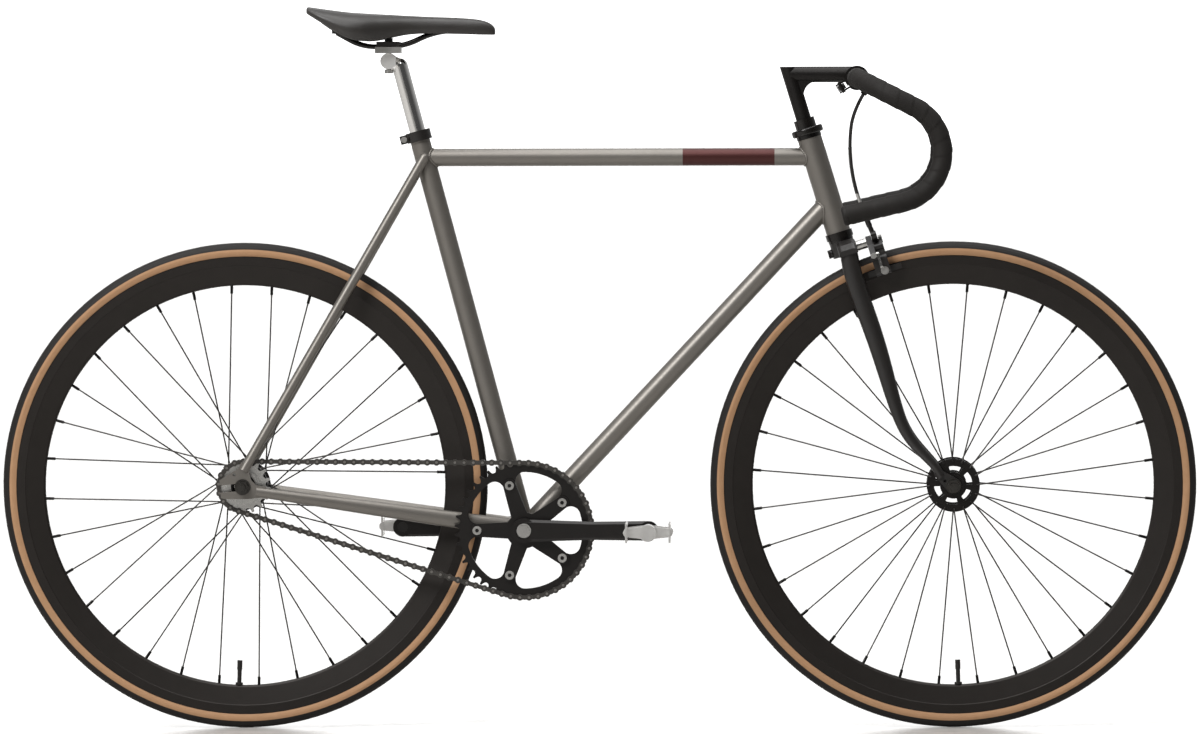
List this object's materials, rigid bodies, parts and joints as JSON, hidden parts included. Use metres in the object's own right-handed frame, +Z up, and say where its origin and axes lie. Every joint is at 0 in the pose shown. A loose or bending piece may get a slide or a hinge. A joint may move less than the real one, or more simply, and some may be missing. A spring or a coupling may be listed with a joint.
{
  "type": "fixed gear bicycle",
  "caption": "Fixed gear bicycle with a level steel frame, raked fork, drop handlebar, deep rims, single chain drive and a front rim brake, as jointed parts.",
  "frame": {"origin": "on the ground, halfway between the two axles", "axes": "+X forward, +Y to the rider's left, +Z up; the chain is on the -Y side"},
  "size_m": [1.652, 0.4274, 0.9981],
  "materials": {
    "frame_paint": "warm grey satin metallic paint",
    "black_paint": "black satin paint",
    "black_steel": "black oxide",
    "bright_steel": "zinc plated and turned",
    "bearing_steel": "polished",
    "chain_steel": "oiled dark steel",
    "spoke_steel": "drawn stainless wire",
    "chrome": "polished",
    "black_alloy": "black anodised",
    "bright_alloy": "polished",
    "tyre": "black tread with tan side walls",
    "butyl": "matt",
    "pad_rubber": "matt",
    "saddle_leather": "black grained",
    "tape": "black perforated tape",
    "black_plastic": "moulded"
  },
  "bodies": {
    "frame": {"head_tube": "frame_paint", "top_tube": "frame_paint", "down_tube": "frame_paint", "seat_tube": "frame_paint", "bottom_bracket_shell": "frame_paint", "chainstays": "frame_paint", "seatstays": "frame_paint", "rear_dropouts": "frame_paint", "headset_cups": "black_steel", "bearing_balls": "bearing_steel", "bottom_bracket_cups": "black_steel", "seat_clamp": "black_steel", "rear_axle": "bright_steel", "chain_outer_links": "chain_steel", "chain_inner_links": "chain_steel"},
    "saddle": {"seatpost": "chrome", "saddle_clamp": "black_steel", "saddle_rails": "black_steel", "saddle_base": "black_plastic", "saddle_cover": "saddle_leather"},
    "fork": {"steerer_tube": "black_paint", "fork_crown": "black_paint", "fork_blades": "black_paint", "headset_races": "black_steel", "stem": "black_alloy", "stem_fasteners": "bright_steel", "handlebar": "black_alloy", "bar_tape": "tape", "bar_end_plugs": "black_plastic", "brake_lever_bracket": "black_steel", "brake_cable": "black_plastic", "brake_hardware": "bright_steel", "front_axle": "bright_steel", "front_hub_balls": "bearing_steel"},
    "lever": {"brake_lever": "black_alloy"},
    "right_arm": {"right_caliper_arm": "black_alloy", "right_brake_shoe": "pad_rubber"},
    "left_arm": {"left_caliper_arm": "black_alloy", "left_brake_shoe": "pad_rubber"},
    "release": {"brake_release": "bright_steel"},
    "front_wheel": {"front_rim": "black_alloy", "front_tyre": "tyre", "front_inner_tube": "butyl", "front_spokes": "spoke_steel", "front_hub_shell": "black_alloy"},
    "rear_wheel": {"rear_rim": "black_alloy", "rear_tyre": "tyre", "rear_inner_tube": "butyl", "rear_spokes": "spoke_steel", "rear_hub_shell": "black_alloy", "rear_sprocket": "bright_steel", "sprocket_lockring": "bright_steel"},
    "crank": {"crank_spindle": "bright_steel", "right_crank": "black_alloy", "chainring": "black_alloy", "crank_fasteners": "bright_steel", "left_crank": "black_alloy", "pedal_axles": "bright_steel"},
    "right_pedal": {"right_pedal": "bright_alloy"},
    "left_pedal": {"left_pedal": "bright_alloy"}
  },
  "joints": [
    {"name": "steering", "type": "hinge", "parent": "frame", "child": "fork", "pos_m": [0.44314, 0, 0.32167], "axis": [-0.2924, 0, 0.9563], "range_deg": [-75, 75]},
    {"name": "front_wheel_spin", "type": "hinge", "parent": "fork", "child": "front_wheel", "pos_m": [0.49, 0, 0.336], "axis": [0, 1, 0], "continuous": true},
    {"name": "rear_wheel_spin", "type": "hinge", "parent": "frame", "child": "rear_wheel", "pos_m": [-0.49, 0, 0.336], "axis": [0, 1, 0], "continuous": true, "deforming": ["chain_outer_links", "chain_inner_links"]},
    {"name": "crank_spin", "type": "hinge", "parent": "frame", "child": "crank", "pos_m": [-0.10228, 0, 0.275], "axis": [0, 1, 0], "continuous": true},
    {"name": "right_pedal_spin", "type": "hinge", "parent": "crank", "child": "right_pedal", "pos_m": [0.07022, -0.112, 0.275], "axis": [0, 1, 0], "continuous": true},
    {"name": "left_pedal_spin", "type": "hinge", "parent": "crank", "child": "left_pedal", "pos_m": [-0.27478, 0.112, 0.275], "axis": [0, 1, 0], "continuous": true},
    {"name": "brake_lever_pull", "type": "hinge", "parent": "fork", "child": "lever", "pos_m": [0.33668, -0.049, 0.88514], "axis": [-0.515, 0, 0.8572], "range_deg": [0, 5], "stiffness_Nm_per_rad": 4, "springref_deg": -8.59, "deforming": ["brake_cable"]},
    {"name": "right_arm_swing", "type": "hinge", "parent": "fork", "child": "right_arm", "pos_m": [0.3712, 0, 0.66985], "axis": [0.9563, 0, 0.2924], "range_deg": [0, 3]},
    {"name": "left_arm_swing", "type": "hinge", "parent": "fork", "child": "left_arm", "pos_m": [0.3712, 0, 0.66985], "axis": [0.9563, 0, 0.2924], "range_deg": [-3, 0]},
    {"name": "brake_release_turn", "type": "hinge", "parent": "right_arm", "child": "release", "pos_m": [0.38469, -0.036, 0.65411], "axis": [-0.9563, 0, -0.2924], "range_deg": [0, 60]},
    {"name": "seatpost_height", "type": "slide", "parent": "frame", "child": "saddle", "axis": [-0.2588, 0, 0.9659], "range_m": [-0.06, 0.06]}
  ],
  "couplings": [
    {"joint": "crank_spin", "follows": "rear_wheel_spin", "ratio": 0.36956},
    {"joint": "right_arm_swing", "follows": "brake_lever_pull", "ratio": 0.452},
    {"joint": "left_arm_swing", "follows": "brake_lever_pull", "ratio": -0.452}
  ]
}
